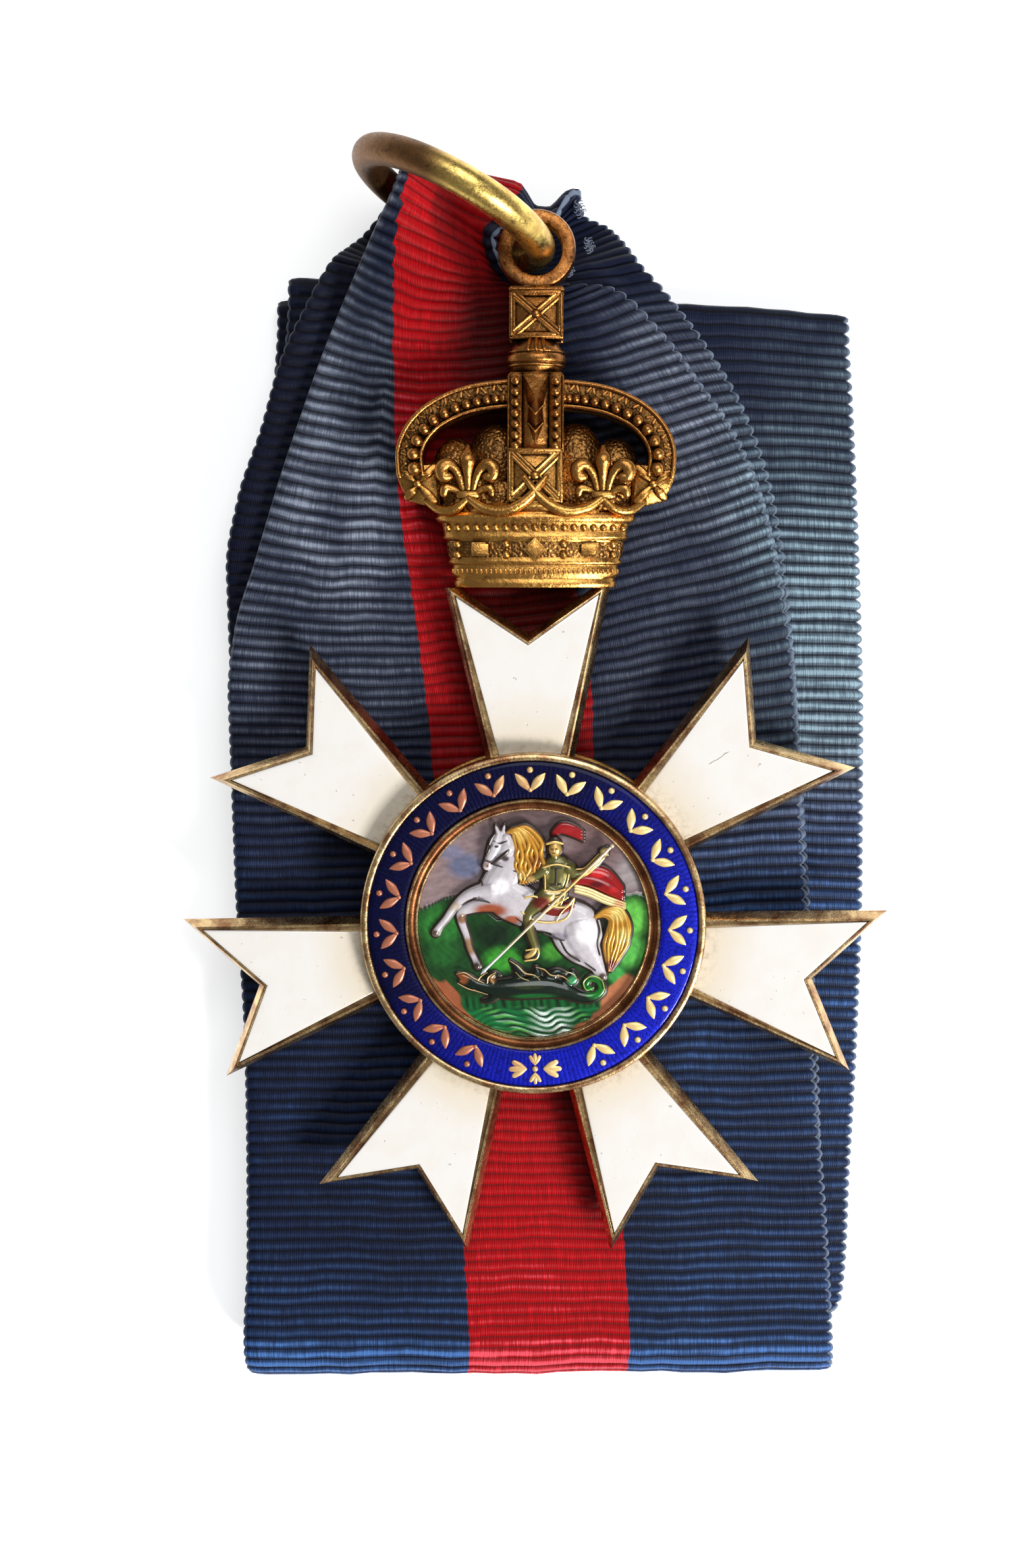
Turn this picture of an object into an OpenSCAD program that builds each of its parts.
// Neck badge of an order: an enamelled seven-armed cross under a cast crown,
// hung by a ring from a corded ribbon that lies folded beneath it.
// X runs to the right, Y towards the crown and Z up from the table.
// The origin is on the table, straight below the centre of the medallion.

/* [Cross] */
// Radius from the centre to the points of the arms
tip_r = 30; // [26:0.5:34]
// Half of the angle between the two points of one arm
tip_half_angle = 13.7; // [12:0.1:15]
// Radius of the notch between the two points
notch_r = 24.25; // [22:0.25:26]
// Half width of an arm where it leaves the medallion
root_half_w = 3.1; // [2.5:0.1:3.6]
// Half thickness of the arms
arm_half_t = 1.2; // [0.9:0.1:1.4]
// Width of the sloping side of an arm, seen from the front
side_slope = 0.5; // [0.3:0.05:0.7]
// Width of the gilt rim round the white enamel
rim_w = 0.2; // [0.1:0.02:0.4]
// Depth of the enamel cells
cell_depth = 0.5; // [0.3:0.05:0.6]

/* [Medallion] */
// Outer radius of the medallion
case_r = 14.5; // [13.5:0.1:15]
// Radius between the outer rim and the blue ring
blue_outer_r = 13.85; // [13:0.05:14]
// Radius between the blue ring and the inner bezel
blue_inner_r = 10.7; // [10.4:0.05:11]
// Radius of the picture inside the bezel
scene_r = 9.7; // [9.5:0.05:10]
// Half thickness of the medallion
case_half_t = 2.85; // [2.6:0.05:3]
// Number of ornaments round the blue ring
ornament_count = 21; // [15:2:27]

/* [Crown] */
// Lean of the crown to the right of the badge's axis
crown_lean = 1.3; // [0:0.1:2]
// Height of the crown's lower edge above the centre
crown_foot_y = 28.1; // [27.5:0.1:29]
// Depth of the crown against its width
crown_squash = 0.33; // [0.28:0.01:0.36]
// Radius of the beads along the arches
arch_bead_r = 0.4; // [0.3:0.02:0.45]
// Outer radius of the eye
eye_r = 3.15; // [2.8:0.05:3.4]
// Radius of the hole in the eye
eye_hole_r = 2.05; // [1.9:0.05:2.2]

/* [Ring] */
// Radius of the ring to the middle of its wire
ring_r = 7.85; // [7.6:0.05:8]
// Diameter of the ring's wire
wire_d = 2.5; // [2.2:0.1:2.6]

/* [Ribbon] */
// Thickness of the ribbon
cloth_t = 1; // [0.8:0.05:1.1]
// Gap between two layers of the folded ribbon
layer_gap = 0.25; // [0.15:0.05:0.4]
// Points across each section of the ribbon
across = 10; // [8:2:16]

/* [Hidden] */
arm_count = 7;
arm_step = 360 / arm_count;
arm_root_r = 11;
hub_r = 13;
gap = 0.03;
round_steps = 96;
layer_step = cloth_t + layer_gap;
layer_count = 6;
stack_top = layer_count * layer_step - layer_gap;
badge_z = stack_top + 0.05 + case_half_t;
wire_r = wire_d / 2;

// Ring: centre from the medallion, turn of its plane and lean of its upper half
ring_x = -5.4;
ring_y = 59.05;
ring_dz = 0.3;
ring_turn = 151.5;
ring_lean = -4.2;

// Vector helpers
function lerp(a, b, t) = a + (b - a) * t;
function unit(v) = v / norm(v);
function polar(r, a) = [r * sin(a), r * cos(a)];
function quadratic(a, m, b, u) =
    a * (2 * u - 1) * (u - 1) + m * 4 * u * (1 - u) + b * u * (2 * u - 1);
function catmull(p0, p1, p2, p3, t) =
    0.5 * (2 * p1 + (p2 - p0) * t
        + (2 * p0 - 5 * p1 + 4 * p2 - p3) * t * t
        + (3 * p1 - p0 - 3 * p2 + p3) * t * t * t);

// Faces of a grid of rings of n points: closed along the path or with end caps
function grid_faces(rings, n, closed) = concat(
    [for (i = [0:rings - (closed ? 1 : 2)], j = [0:n - 1])
        let (a = i * n, b = ((i + 1) % rings) * n, k = (j + 1) % n)
        each [[a + j, b + k, a + k], [a + j, b + j, b + k]]],
    closed ? [] : [
        [for (j = [0:n - 1]) j],
        [for (j = [n - 1:-1:0]) (rings - 1) * n + j]]);

// Tube of round section swept through points in a plane of constant depth
// path rows: [x, y, z, radius]
module tube(path, sides = 6) {
    last = len(path) - 1;
    points = [for (i = [0:last])
        let (
            p = [path[i][0], path[i][1], path[i][2]],
            q = path[min(i + 1, last)],
            o = path[max(i - 1, 0)],
            t = unit([q[0] - o[0], q[1] - o[1], 0]),
            side = [-t[1], t[0], 0])
        for (k = [0:sides - 1])
            p + path[i][3] * (side * cos(k * 360 / sides) + [0, 0, 1] * sin(k * 360 / sides))];
    polyhedron(points, grid_faces(last + 1, sides, false), convexity = 4);
}

// Flat bar with bevelled edges swept through points in the plane of the crown
// path rows: [x, y, half width]
module bar(path, depth, bevel) {
    last = len(path) - 1;
    points = [for (i = [0:last])
        let (
            p = [path[i][0], path[i][1], 0],
            q = path[min(i + 1, last)],
            o = path[max(i - 1, 0)],
            t = unit([q[0] - o[0], q[1] - o[1], 0]),
            side = [-t[1], t[0], 0],
            w = path[i][2])
        each [
            p + side * w + [0, 0, depth - bevel], p + side * (w - bevel) + [0, 0, depth],
            p - side * (w - bevel) + [0, 0, depth], p - side * w + [0, 0, depth - bevel],
            p - side * w - [0, 0, depth - bevel], p - side * (w - bevel) - [0, 0, depth],
            p + side * (w - bevel) - [0, 0, depth], p + side * w - [0, 0, depth - bevel]]];
    polyhedron(points, grid_faces(last + 1, 8, false), convexity = 4);
}

// Everything on the badge sits in the badge's own height
module on_badge() {
    translate([0, 0, badge_z]) children();
}

// Cross

// Outline of one arm that points along +Y, drawn in by a margin on every side
function arm_outline(inset, root_r) =
    let (
        tip = polar(tip_r, tip_half_angle),
        notch = [0, notch_r],
        root = [root_half_w, root_r],
        edge = unit(tip - root),
        normal = [edge[1], -edge[0]],
        fork = unit(notch - tip),
        fork_normal = [-fork[1], fork[0]],
        side_a = root - normal * inset,
        fork_a = tip + fork_normal * inset,
        cross_t = ((fork_a - side_a) * fork_normal) / (edge * fork_normal),
        new_tip = side_a + edge * cross_t,
        new_notch = [0, notch_r - inset / abs(fork_normal[1])],
        new_root = side_a + edge * ((root_r + inset - side_a[1]) / edge[1]))
    [[-new_root[0], new_root[1]], [new_root[0], new_root[1]], [new_tip[0], new_tip[1]],
     new_notch, [-new_tip[0], new_tip[1]]];

// The arm's solid: wide at its middle plane, narrower at both faces
module arm_body(root_r) {
    wide = arm_outline(0, root_r);
    tight = arm_outline(side_slope, root_r - side_slope);
    n = len(wide);
    points = concat(
        [for (p = tight) [p[0], p[1], -arm_half_t]],
        [for (p = wide) [p[0], p[1], -gap]],
        [for (p = wide) [p[0], p[1], gap]],
        [for (p = tight) [p[0], p[1], arm_half_t]]);
    faces = concat(
        [for (i = [0:2], j = [0:n - 1])
            let (a = i * n, b = (i + 1) * n, k = (j + 1) % n)
            each [[a + k, a + j, b + j], [a + k, b + j, b + k]]],
        [[2, 3, 1], [3, 0, 1], [3, 4, 0]],
        [for (f = [[1, 3, 2], [1, 0, 3], [0, 4, 3]]) [f[0] + 3 * n, f[1] + 3 * n, f[2] + 3 * n]]);
    polyhedron(points, faces, convexity = 4);
}

module arm_cell(inset, low, high) {
    translate([0, 0, low])
        linear_extrude(high - low)
            polygon(arm_outline(side_slope + inset, case_r - 0.9));
}

// Room that the crown's foot takes from the points of the upper arm
module under_crown() {
    rotate(-crown_lean)
        translate([-tip_r / 2, crown_foot_y - gap, -tip_r / 2]) cube([tip_r, tip_r, tip_r]);
}

module cross_frame() {
    color("darkgoldenrod") on_badge() {
        difference() {
            union() {
                for (i = [0:arm_count - 1]) rotate([0, 0, -i * arm_step]) arm_body(arm_root_r);
                cylinder(r = hub_r, h = 2 * arm_half_t, center = true, $fn = round_steps);
            }
            for (i = [0:arm_count - 1])
                rotate([0, 0, -i * arm_step])
                    arm_cell(rim_w, arm_half_t - cell_depth, arm_half_t + 1);
            under_crown();
        }
    }
}

module arm_enamel(i) {
    color("ivory") on_badge()
        difference() {
            rotate([0, 0, -i * arm_step])
                arm_cell(rim_w + gap, arm_half_t - cell_depth + gap, arm_half_t + 0.02);
            under_crown();
        }
}

// Medallion
case_floor = arm_half_t + gap;
blue_floor = 2.0;
blue_top = 2.6;
scene_floor = 1.5;
bezel_step_r = scene_r + 0.5;

module medallion_case() {
    profile = [
        [0, case_floor], [case_r, case_floor], [case_r, 2.55], [case_r - 0.15, 2.75],
        [blue_outer_r + 0.15, 2.75], [blue_outer_r, 2.62], [blue_outer_r, blue_floor],
        [blue_inner_r, blue_floor], [blue_inner_r, 2.7], [blue_inner_r - 0.12, 2.82],
        [bezel_step_r + 0.1, 2.82], [bezel_step_r, 2.7], [bezel_step_r, 2.3],
        [scene_r, 2.2], [scene_r, scene_floor], [0, scene_floor]];
    color("goldenrod") on_badge() rotate_extrude($fn = round_steps) polygon(profile);
}

module blue_enamel() {
    color("navy") on_badge() rotate_extrude($fn = round_steps)
        polygon([
            [blue_inner_r + gap, blue_floor + gap], [blue_outer_r - gap, blue_floor + gap],
            [blue_outer_r - gap, blue_top], [blue_inner_r + gap, blue_top]]);
}

// Leaf outline, pointed at both ends, standing on the origin
function leaf(length, half_w, steps = 6) = concat(
    [for (i = [0:steps]) [half_w * sin(180 * i / steps), length * i / steps]],
    [for (i = [steps - 1:-1:1]) [-half_w * sin(180 * i / steps), length * i / steps]]);

module leaf_pair() {
    for (side = [-1, 1])
        translate([side * 0.12, -0.75]) rotate(-side * 38) polygon(leaf(1.75, 0.36));
    translate([0, 0.75]) circle(r = 0.26, $fn = 12);
}

module flower() {
    circle(r = 0.24, $fn = 12);
    for (a = [0:90:270]) rotate(a) translate([0, 0.42])
        polygon([[-0.12, 0], [0.12, 0], [0.42, 0.62], [0.16, 0.56], [0, 0.84], [-0.16, 0.56], [-0.42, 0.62]]);
}

module ring_ornament() {
    mid_r = (blue_outer_r + blue_inner_r) / 2;
    // The ornaments leave the foot of the ring free for the flower
    free_angle = 52;
    step = (360 - free_angle) / (ornament_count - 1);
    color("burlywood") on_badge()
        translate([0, 0, blue_top + 0.01])
            linear_extrude(0.1) {
                for (i = [0:ornament_count - 1])
                    rotate(-180 + free_angle / 2 + i * step) translate([0, mid_r]) leaf_pair();
                translate([0, -mid_r]) scale(1.05) flower();
            }
}

// Picture: ground with a line of hills, all in low relief
module scene_ground() {
    disc_r = scene_r - gap;
    color("seagreen") on_badge() {
        translate([0, 0, scene_floor + gap]) cylinder(r = disc_r, h = 0.2, $fn = round_steps);
        translate([0, 0, scene_floor + 0.1])
            linear_extrude(0.25)
                intersection() {
                    circle(r = disc_r, $fn = round_steps);
                    polygon([[-10, -10], [-10, 1.4], [-8.6, 1.8], [-7.4, 2.4], [-6, 1.2], [-3, 0.4],
                        [3, 0.2], [7.6, 1.6], [8.8, 2.2], [10, 2.1], [10, -10]]);
                }
    }
}

relief_base = scene_floor + gap + 0.36;

// Chain of rounded limbs, thicker in the middle than at the rim
// rows: [x, y, radius]; grow makes the cutter that keeps a gap round a figure
module limb(rows, height, grow = 0) {
    crest = 0.55;
    for (i = [0:len(rows) - 2])
        hull() for (p = [rows[i], rows[i + 1]]) translate([p[0], p[1], -grow]) {
            cylinder(r = p[2] + grow, h = height * crest + 2 * grow, $fn = 10);
            cylinder(r = p[2] * crest + grow, h = height * min(1, 0.45 + p[2] * crest) + 2 * grow, $fn = 10);
        }
}

module raise_relief() {
    on_badge() translate([0, 0, relief_base]) children();
}

// Rearing horse: head, neck, body and near hind leg, then the other legs
module horse_limbs(grow = 0) {
    limb([[-3.9, 5.3, 0.38], [-3.1, 6.5, 0.66], [-2.7, 7.2, 0.7], [-1.6, 4.6, 1.45],
          [-2.2, 2.5, 1.75], [0.6, 1.0, 1.6], [3.7, -0.9, 1.95], [4.4, -3.0, 1.0],
          [5.9, -3.7, 0.5], [5.7, -4.8, 0.36]], 0.62, grow);
    limb([[-3.4, 2.5, 0.8], [-6.2, 1.8, 0.42], [-7.9, -0.4, 0.32]], 0.4, grow);
    limb([[-3.0, 1.4, 0.75], [-6.0, 0.4, 0.4], [-5.6, -1.6, 0.3], [-4.7, -3.0, 0.34]], 0.5, grow);
    limb([[2.8, -1.8, 1.1], [2.7, -3.3, 0.6], [3.9, -4.3, 0.34]], 0.4, grow);
}

// Mane down the neck, and the tail behind the rump
module mane_limbs(grow = 0) {
    limb([[-2.4, 8.1, 0.5], [-1.0, 7.9, 0.7], [-0.2, 6.4, 0.75], [-0.4, 4.8, 0.7], [-0.6, 3.7, 0.4]], 0.8, grow);
    limb([[6.1, 1.0, 0.5], [7.6, 0.3, 0.75], [8.1, -1.6, 0.75], [7.2, -3.2, 0.35]], 0.5, grow);
    limb([[6.6, -0.2, 0.5], [7.0, -2.0, 0.5], [7.2, -3.2, 0.35]], 0.45, grow);
}

// Rider: helmet, body and near leg, then the raised arm and the rein arm
module rider_limbs(grow = 0) {
    limb([[2.3, 6.9, 0.62], [2.1, 5.9, 0.55], [2.0, 4.9, 1.2], [2.0, 3.3, 1.05],
          [1.4, 2.2, 1.2], [0.3, 0.9, 0.8], [0.5, -0.9, 0.5], [0.6, -2.2, 0.42],
          [-0.1, -2.9, 0.3]], 0.85, grow);
    limb([[3.0, 5.3, 0.6], [4.7, 4.8, 0.42], [6.3, 6.2, 0.38]], 0.75, grow);
    limb([[1.2, 4.7, 0.5], [-0.2, 4.0, 0.34]], 0.95, grow);
}

module relief_horse() {
    color("white") raise_relief() horse_limbs();
}

module relief_mane() {
    color("gold") raise_relief()
        difference() {
            mane_limbs();
            horse_limbs(gap);
        }
}

module relief_rider() {
    color("darkkhaki") raise_relief()
        difference() {
            rider_limbs();
            horse_limbs(gap);
            mane_limbs(gap);
        }
}

// Cloak that flies out behind the rider, and the plume of the helmet
module relief_cloak() {
    color("firebrick") raise_relief()
        difference() {
            union() {
                limb([[4.0, 3.9, 0.9], [5.9, 3.7, 1.1], [7.2, 2.3, 0.7]], 0.5);
                limb([[2.6, 8.1, 0.4], [3.7, 8.0, 0.45], [4.7, 7.5, 0.3]], 0.5);
            }
            rider_limbs(gap);
            horse_limbs(gap);
        }
}

module relief_lance() {
    shaft_r = 0.15;
    lance_foot = [-4.2, -4.1];
    lance_top = [6.9, 7.0];
    reach = lance_top - lance_foot;
    color("wheat") on_badge()
        translate([lance_foot[0], lance_foot[1], relief_base + 1.02])
            rotate([0, 90, atan2(reach[1], reach[0])])
                cylinder(r = shaft_r, h = norm(reach), $fn = 16);
}

// Dragon: head, neck, body and tail, then wings and claws
module relief_dragon() {
    color("darkgreen") raise_relief()
        difference() {
            union() {
                limb([[-5.1, -4.6, 0.34], [-4.3, -5.1, 0.5], [-3.2, -6.1, 0.6], [-0.8, -6.2, 0.95],
                      [1.6, -5.8, 0.9], [3.7, -6.3, 0.65], [5.3, -6.0, 0.48], [5.9, -5.6, 0.4]], 0.5);
                limb([[-0.8, -5.4, 0.4], [-1.4, -3.9, 0.3]], 0.4);
                limb([[1.0, -5.1, 0.4], [1.9, -4.1, 0.28]], 0.4);
                limb([[-2.6, -6.6, 0.34], [-3.4, -7.5, 0.24]], 0.3);
                limb([[2.2, -6.6, 0.34], [1.6, -7.5, 0.24]], 0.3);
            }
            horse_limbs(gap);
        }
}

module back_case() {
    profile = [
        [0, -case_floor], [case_r, -case_floor], [case_r, -2.65], [case_r - 0.2, -case_half_t],
        [blue_outer_r, -case_half_t], [blue_outer_r - 0.2, -2.6], [blue_inner_r, -2.6],
        [blue_inner_r - 0.2, -case_half_t], [scene_r, -case_half_t], [scene_r - 0.2, -2.4], [0, -2.4]];
    color("goldenrod") on_badge() rotate_extrude($fn = round_steps) polygon(profile);
}

// Crown, cast in one piece; heights above its foot and places across it
row_y = 4.85;
row_w = 7.75;
zone_y = 3.1;
zone_w = 7.3;
cross_y = 9.0;
cross_z = 2.6;
lily_x = 5.5;
lily_z = 1.9;
stem_y = 14.1;
stem_half_w = 2.25;
orb_y = 18.5;
orb_r = 2.35;
plate_y = 22.0;
plate_z = 1.2;
eye_y = 27.2;
arch_half_t = 1.5;
arch_bead_count = 11;

// Depth of the band's front face at a place across it
function band_z(x, half_w) = crown_squash * sqrt(max(0.5, half_w * half_w - x * x));

module crown_band() {
    // Profile rows: [radius, height above the crown's foot]
    profile = [
        [0, 0], [6.55, 0], [6.75, 0.5], [6.95, 1.85], [7.2, 2.0], [7.15, 2.25],
        [7.45, 3.9], [7.8, 4.1], [7.75, 4.5], [7.95, 5.2], [8.3, 5.5], [8.1, 6.1], [0, 6.1]];
    scale([1, 1, crown_squash])
        rotate([-90, 0, 0])
            rotate_extrude($fn = 32) polygon(profile);
}

module bead(x, y, z, r) {
    translate([x, y, z]) sphere(r = r, $fn = 6);
}

module band_jewels() {
    for (x = [-7.2:0.8:7.2]) bead(x, row_y, band_z(x, row_w) - 0.02, 0.3);
    translate([0, zone_y, band_z(0, zone_w)]) rotate(45) cube([0.95, 0.95, 0.6], center = true);
    for (x = [-4.4, 4.4]) translate([x, zone_y, band_z(x, zone_w)]) cube([1.1, 0.7, 0.6], center = true);
    for (x = [-6.4, -2.35, 2.35, 6.4], dy = [-0.42, 0.42]) bead(x, zone_y + dy, band_z(x, zone_w), 0.26);
}

// Cap: two rounded lobes on each side, seen through the open arches
module crown_cap() {
    for (side = [-1, 1]) {
        translate([side * 3.0, 10.0, 0]) scale([1, 1.05, 0.62]) sphere(r = 2.85, $fn = 14);
        translate([side * 6.1, 9.0, 0]) scale([0.95, 1.15, 0.66]) sphere(r = 2.1, $fn = 12);
        translate([side * 4.2, 7.6, 0]) scale([1.2, 0.8, 0.52]) sphere(r = 3.3, $fn = 12);
    }
}

// Lily: a middle petal, two curling petals and a foot
module lily() {
    tube([[0, -1.6, 0, 0.3], [0, -0.4, 0.1, 0.24], [0, 0.7, 0.15, 0.42], [0, 1.5, 0.1, 0.36], [0, 2.1, 0, 0.1]]);
    for (side = [-1, 1]) {
        tube([[side * 0.35, -1.5, 0, 0.22], [side * 0.5, -0.4, 0.1, 0.26], [side * 1.1, 0.6, 0.15, 0.34],
            [side * 1.85, 0.6, 0.15, 0.36], [side * 2.15, -0.1, 0.1, 0.32], [side * 1.75, -0.45, 0.1, 0.3]]);
        tube([[side * 0.4, -1.7, 0, 0.2], [side * 1.2, -1.75, 0.05, 0.24], [side * 1.75, -1.2, 0.05, 0.3]]);
    }
    translate([0, -1.8, 0]) cube([1.6, 0.8, 0.9], center = true);
}

// Cross of four raised triangles in a square frame
module facet_cross(half_x, half_y, lift) {
    rim = 0.16;
    for (side = [-1, 1]) {
        hull() {
            translate([side * half_x, 0, 0]) cube([0.04, 2 * half_y - 4 * rim, 0.2], center = true);
            translate([side * rim * 1.5, 0, 0]) cube([0.04, 0.04, 0.2], center = true);
            translate([side * half_x * 0.62, 0, lift]) cube(0.04, center = true);
        }
        hull() {
            translate([0, side * half_y, 0]) cube([2 * half_x - 4 * rim, 0.04, 0.2], center = true);
            translate([0, side * rim * 1.5, 0]) cube([0.04, 0.04, 0.2], center = true);
            translate([0, side * half_y * 0.62, lift]) cube(0.04, center = true);
        }
    }
}

module crown_crosses() {
    translate([0, cross_y, cross_z / 2]) cube([2 * stem_half_w, 4.4, cross_z], center = true);
    translate([0, cross_y, cross_z]) facet_cross(stem_half_w, 2.2, 0.5);
    for (side = [-1, 1]) {
        hull() {
            translate([side * 8.2, 7.0, 0]) cube([0.7, 0.7, 2.4], center = true);
            translate([side * 10.0, 7.4, 0]) cube([0.7, 0.7, 1.8], center = true);
            translate([side * 11.2, 9.4, 0]) cube([0.7, 0.7, 1.4], center = true);
            translate([side * 8.4, 9.9, 0]) cube([0.7, 0.7, 2.4], center = true);
        }
        hull() {
            translate([side * 8.6, 7.4, 1.1]) cube([0.4, 0.4, 0.3], center = true);
            translate([side * 10.9, 9.3, 0.6]) cube([0.4, 0.4, 0.3], center = true);
            translate([side * 9.6, 8.7, 1.5]) cube(0.2, center = true);
        }
    }
}

// Path of an arch, from the side cross up to the stem; rows: [x, y, half width]
ARCH = [[10.2, 9.1, 1.15], [10.35, 10.8, 1.15], [9.8, 12.4, 1.15], [8.4, 13.9, 1.15],
        [6.2, 15.0, 1.15], [4.0, 15.5, 1.15], [1.8, 15.7, 1.2]];

function arch_mirror(side) = [for (p = side > 0 ? ARCH : [for (i = [len(ARCH) - 1:-1:0]) ARCH[i]])
    [side * p[0], p[1], p[2]]];

function arch_at(t) =
    let (
        n = len(ARCH) - 1,
        i = min(floor(t * n), n - 1),
        f = t * n - i,
        p = catmull(ARCH[max(i - 1, 0)], ARCH[i], ARCH[i + 1], ARCH[min(i + 2, n)], f))
    [p[0], p[1]];

module crown_arches() {
    for (side = [-1, 1]) {
        bar(arch_mirror(side), arch_half_t, 0.55);
        for (i = [0:arch_bead_count - 1]) {
            p = arch_at(0.04 + 0.86 * i / (arch_bead_count - 1));
            bead(side * p[0], p[1], arch_half_t, arch_bead_r);
        }
    }
}

// Festoons that cross under the middle cross
module crown_festoons() {
    for (side = [-1, 1]) {
        tube([[-side * 0.9, 8.6, 2.9, 0.26], [side * 0.2, 7.6, 2.95, 0.3], [side * 1.4, 6.4, 2.9, 0.32],
            [side * 2.7, 6.0, 2.75, 0.34], [side * 4.2, 6.3, 2.5, 0.32], [side * 5.4, 7.2, 2.2, 0.26]]);
        tube([[side * 5.5, 7.2, 2.1, 0.26], [side * 6.6, 6.2, 1.8, 0.3], [side * 7.8, 6.2, 1.4, 0.3],
            [side * 8.8, 6.9, 0.9, 0.26]]);
    }
}

module crown_stem() {
    translate([0, stem_y, 0.3]) cube([2 * stem_half_w, 6.4, 4.2], center = true);
    for (x = [-1.75, 1.75], y = [11.5:0.78:16.2]) bead(x, y, 2.4, 0.36);
    for (y = [11.6, 13.7])
        hull() {
            translate([0, y, 2.35]) cube([0.3, 0.1, 0.2], center = true);
            translate([0, y + 1.1, 2.55]) cube([1.3, 0.1, 0.3], center = true);
            translate([0, y + 2.1, 2.35]) cube([0.3, 0.1, 0.2], center = true);
        }
}

module crown_orb() {
    translate([0, orb_y, 0]) scale([1, 1, 0.94]) {
        scale([1, 0.76, 1]) sphere(r = orb_r, $fn = 16);
        rotate([90, 0, 0]) rotate_extrude($fn = 16) translate([orb_r - 0.05, 0]) circle(r = 0.22, $fn = 4);
    }
    translate([0, plate_y, 0]) cube([4.4, 3.9, 2 * plate_z], center = true);
    translate([0, plate_y, plate_z]) facet_cross(2.2, 1.95, 0.45);
    bead(0, plate_y, plate_z + 0.2, 0.5);
}

module crown_eye() {
    translate([0, eye_y, 0])
        difference() {
            union() {
                cylinder(r = eye_r, h = 1.7, center = true, $fn = 32);
                cylinder(r = eye_r - 0.3, h = 2.2, center = true, $fn = 32);
                translate([0, -3.1, 0]) cube([3.2, 1.0, 2.2], center = true);
            }
            cylinder(r = eye_hole_r, h = 4, center = true, $fn = 32);
        }
}

module crown() {
    color("peru") on_badge() rotate(-crown_lean) translate([0, crown_foot_y, 0]) {
        crown_band();
        band_jewels();
        crown_cap();
        for (side = [-1, 1]) translate([side * lily_x, cross_y, lily_z]) lily();
        crown_crosses();
        crown_arches();
        crown_festoons();
        crown_stem();
        crown_orb();
        crown_eye();
    }
}

module suspension_ring() {
    color("gold")
        translate([ring_x, ring_y, badge_z + ring_dz])
            rotate([0, 0, ring_turn])
                rotate([90 - ring_lean, 0, 0])
                    rotate_extrude($fn = round_steps) translate([ring_r, 0]) circle(r = wire_r, $fn = 32);
}

// Ribbon: one closed loop, given by sections across the cloth.
// rows: [left x, y, z, middle x, y, z, right x, y, z, thickness factor]
top_z = stack_top - cloth_t / 2;
second_z = top_z - layer_step;

FRONT_RUN = [
    [-26.8, -39.8, top_z, -0.6, -39.7, top_z, 25.7, -39.5, top_z, 1],
    [-26.2, -31.0, top_z, -0.5, -31.0, top_z, 25.3, -31.0, top_z, 1],
    [-25.7, -10.0, top_z, -1.0, -10.0, top_z, 23.8, -9.5, top_z, 1],
    [-26.0, 3.0, top_z, -1.3, 3.0, top_z, 23.2, 3.6, top_z, 1],
    [-26.0, 13.5, top_z, -1.6, 13.3, top_z, 22.6, 15.0, top_z, 1],
    [-26.0, 19.0, top_z, -1.8, 18.6, top_z, 22.2, 21.5, top_z, 1],
    [-25.3, 25.0, top_z, -2.2, 24.2, top_z, 21.2, 28.3, top_z, 1],
    [-23.3, 31.0, top_z, -3.0, 29.8, top_z, 19.8, 34.6, top_z, 1],
    [-20.9, 38.0, top_z, -3.6, 36.2, top_z, 17.5, 40.4, top_z, 1],
    [-19.0, 43.0, top_z, -4.2, 41.3, top_z, 14.6, 44.6, top_z, 1],
    [-17.0, 48.0, top_z, -4.8, 46.0, top_z, 11.4, 48.9, top_z, 1],
    [-14.7, 53.0, 7.0, -5.3, 50.4, 6.8, 6.6, 52.9, 6.8, 1.1],
    [-12.3, 57.6, 8.1, -5.5, 54.8, 6.4, -0.7, 53.5, 6.7, 1.3],
    [-10.1, 61.4, 9.2, -5.4, 59.0, 4.95, -2.5, 57.1, 7.2, 1.4]];

RING_FOLD = [
    [-9.6, 62.9, 8.4, -4.5, 60.9, 4.9, 0.0, 58.9, 6.3, 1.4],
    [-9.3, 64.0, 6.4, -3.6, 62.2, 4.3, 2.2, 60.4, 4.6, 1.3],
    [-9.4, 64.4, 4.0, -3.2, 62.7, 2.9, 3.9, 61.6, 2.8, 1.2],
    [-9.9, 64.0, 1.9, -3.3, 62.3, 1.4, 4.7, 61.8, 1.3, 1.1],
    [-10.8, 62.7, 0.75, -3.9, 61.3, 0.65, 4.7, 61.0, 0.7, 1]];

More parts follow.
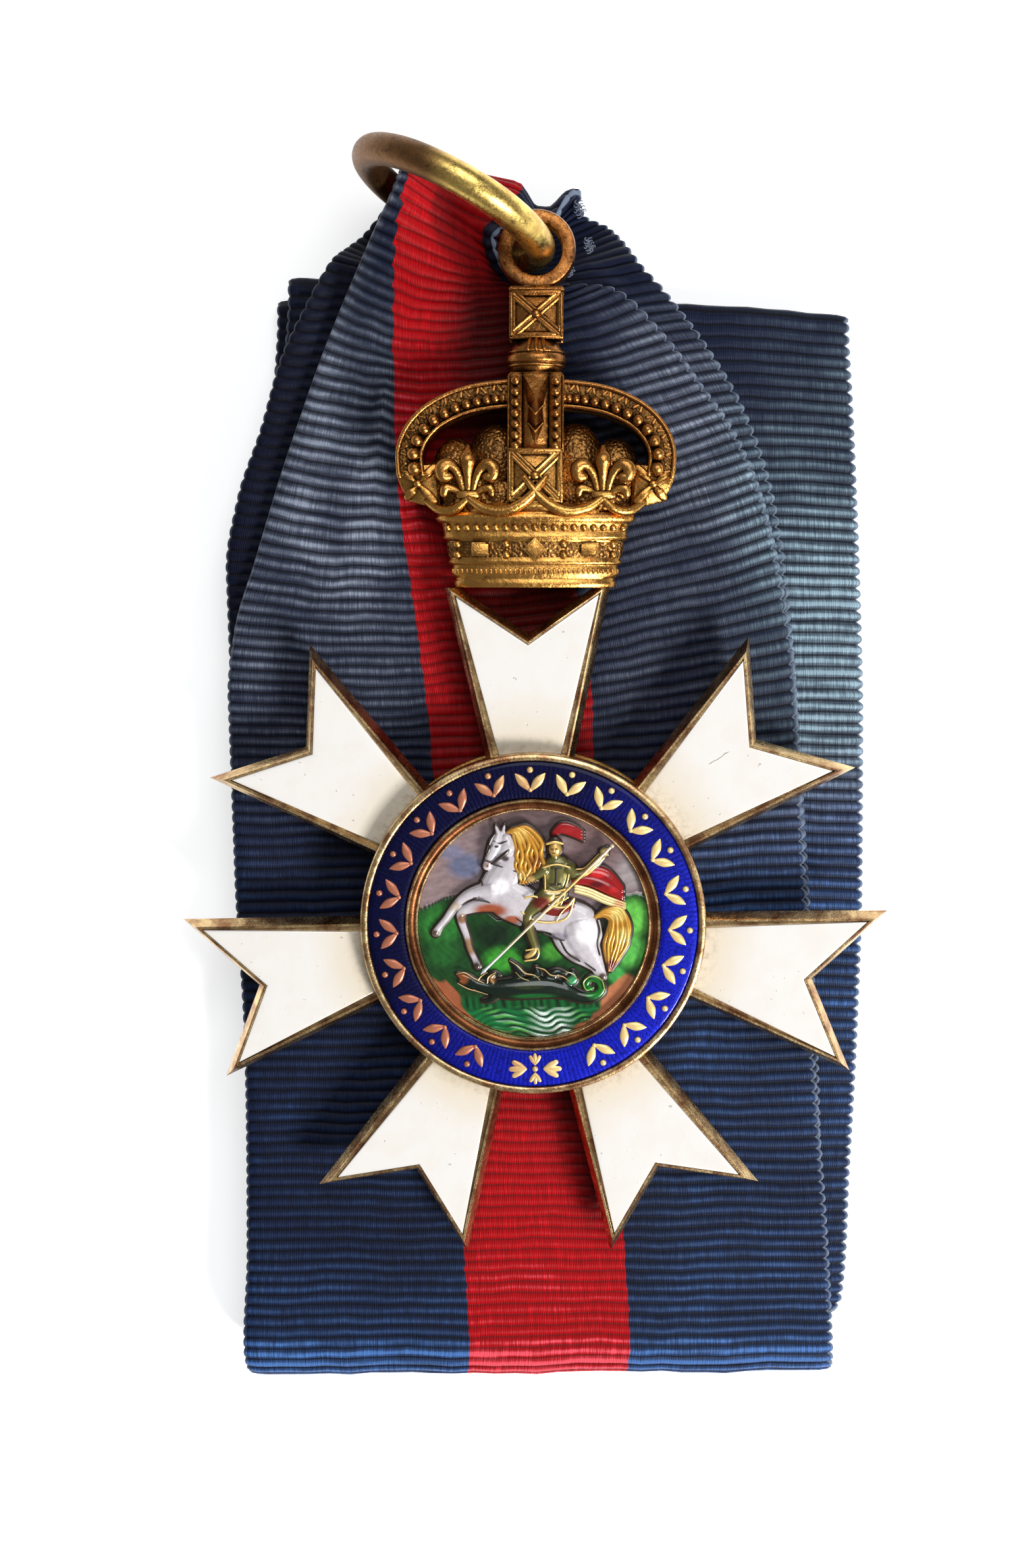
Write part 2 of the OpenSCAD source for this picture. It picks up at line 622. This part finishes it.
BACK_RUN = [
    [-12.2, 60.8, 0.6, -4.6, 58.9, 0.55, 5.2, 59.9, 0.6, 1],
    [-13.8, 58.9, 0.8, -4.5, 56.4, 0.7, 7.0, 58.9, 0.9, 1],
    [-15.2, 57.3, 2.7, -4.3, 54.8, 2.7, 8.3, 57.3, 2.5, 1],
    [-16.3, 55.8, 4.9, -4.2, 53.9, 4.75, 9.6, 55.1, 4.6, 1],
    [-18.0, 52.9, second_z, -4.0, 51.9, second_z - 0.1, 11.7, 52.6, second_z - 0.1, 1],
    [-20.6, 48.0, second_z, -3.8, 47.0, second_z, 14.9, 48.4, second_z, 1],
    [-22.6, 42.0, second_z, -3.0, 41.0, second_z, 18.2, 42.8, second_z, 1],
    [-24.8, 36.2, second_z, -2.4, 35.0, second_z, 20.3, 37.0, second_z, 1],
    [-26.0, 30.0, second_z, -2.2, 29.2, second_z, 21.5, 31.0, second_z, 1],
    [-26.0, 22.0, second_z, -2.0, 22.0, second_z, 22.3, 23.0, second_z, 1],
    [-25.8, 8.0, second_z, -1.3, 8.0, second_z, 23.3, 8.0, second_z, 1],
    [-25.6, -15.0, second_z, -0.6, -15.0, second_z, 24.6, -15.0, second_z, 1],
    [-25.6, -36.8, second_z, -0.2, -36.8, second_z, 25.2, -36.8, second_z, 1]];

// Folded layers below, from the top down; the edges bow out a little half-way
// rows: [z, foot left x, foot right x, foot y, head left x, left y, head right x, right y]
STACK = [
    [second_z - layer_step, -25.8, 26.8, -36.8, -20.0, 53.9, 27.2, 49.6],
    [second_z - 2 * layer_step, -25.6, 26.6, -37.6, -20.0, 53.9, 27.2, 49.6],
    [second_z - 3 * layer_step, -26.0, 26.2, -37.6, -21.4, 52.5, 26.4, 49.0],
    [cloth_t / 2, -26.4, 26.0, -39.7, -21.4, 52.5, 26.4, 49.0]];

// Sections of one folded layer, from its foot to its head
function layer_rows(s) =
    let (bow = [-0.9, 1.6])
    [for (t = [0, 0.3, 0.6, 0.85, 1])
        let (
            push = sin(180 * t),
            xl = lerp(s[1], s[4], t) + bow[0] * push,
            xr = lerp(s[2], s[6], t) + bow[1] * push,
            yl = lerp(s[3], s[5], t),
            yr = lerp(s[3], s[7], t))
        [xl, yl, s[0], (xl + xr) / 2, (yl + yr) / 2, s[0], xr, yr, s[0], 1]];

function reversed(v) = [for (i = [len(v) - 1:-1:0]) v[i]];

// Rows of a half-round fold between two sections; out is +1 towards the crown
function fold_rows(a, b, out, steps) =
    let (r = abs(a[2] - b[2]) / 2)
    [for (i = [1:steps - 1])
        let (
            ang = 180 * i / steps,
            mix = (1 - cos(ang)) / 2,
            base = lerp(a, b, i / steps),
            dy = out * r * sin(ang),
            z = lerp(a[2], b[2], mix))
        [base[0], base[1] + dy, z, base[3], base[4] + dy, z, base[6], base[7] + dy, z, 1]];

c_rows = layer_rows(STACK[0]);
d_rows = reversed(layer_rows(STACK[1]));
e_rows = layer_rows(STACK[2]);
f_rows = reversed(layer_rows(STACK[3]));

function last_of(v) = v[len(v) - 1];

// Curved stretches get extra sections between their rows
function refine(rows, times) = concat(
    [for (i = [0:len(rows) - 2], k = [0:times - 1])
        catmull(rows[max(i - 1, 0)], rows[i], rows[i + 1], rows[min(i + 2, len(rows) - 1)], k / times)],
    [last_of(rows)]);

RIBBON = concat(
    refine(concat(FRONT_RUN, RING_FOLD, BACK_RUN), 2),
    fold_rows(last_of(BACK_RUN), c_rows[0], -1, 5),
    c_rows,
    fold_rows(last_of(c_rows), d_rows[0], 1, 5),
    d_rows,
    fold_rows(last_of(d_rows), e_rows[0], -1, 5),
    e_rows,
    fold_rows(last_of(e_rows), f_rows[0], 1, 5),
    f_rows,
    fold_rows(last_of(f_rows), FRONT_RUN[0], -1, 10));

function section_point(i, u) =
    let (
        n = len(RIBBON),
        r = RIBBON[(i + n) % n])
    quadratic([r[0], r[1], r[2]], [r[3], r[4], r[5]], [r[6], r[7], r[8]], u);

module ribbon() {
    n = len(RIBBON);
    us = [for (j = [0:across]) j / across];
    points = [for (i = [0:n - 1])
        let (
            half_t = cloth_t * RIBBON[i][9] / 2,
            mids = [for (u = us) section_point(i, u)],
            normals = [for (j = [0:across])
                let (
                    along = section_point(i + 1, us[j]) - section_point(i - 1, us[j]),
                    over = section_point(i, min(us[j] + 0.05, 1)) - section_point(i, max(us[j] - 0.05, 0)))
                unit(cross(over, along))])
        each concat(
            [for (j = [0:across]) mids[j] + normals[j] * half_t],
            [for (j = [across:-1:0]) mids[j] - normals[j] * half_t])];
    color("midnightblue") polyhedron(points, grid_faces(n, 2 * (across + 1), true), convexity = 10);
}

cross_frame();
for (i = [1:arm_count])
    arm_enamel(i - 1);
medallion_case();
blue_enamel();
ring_ornament();
scene_ground();
relief_horse();
relief_mane();
relief_rider();
relief_cloak();
relief_lance();
relief_dragon();
back_case();
crown();
suspension_ring();
ribbon();
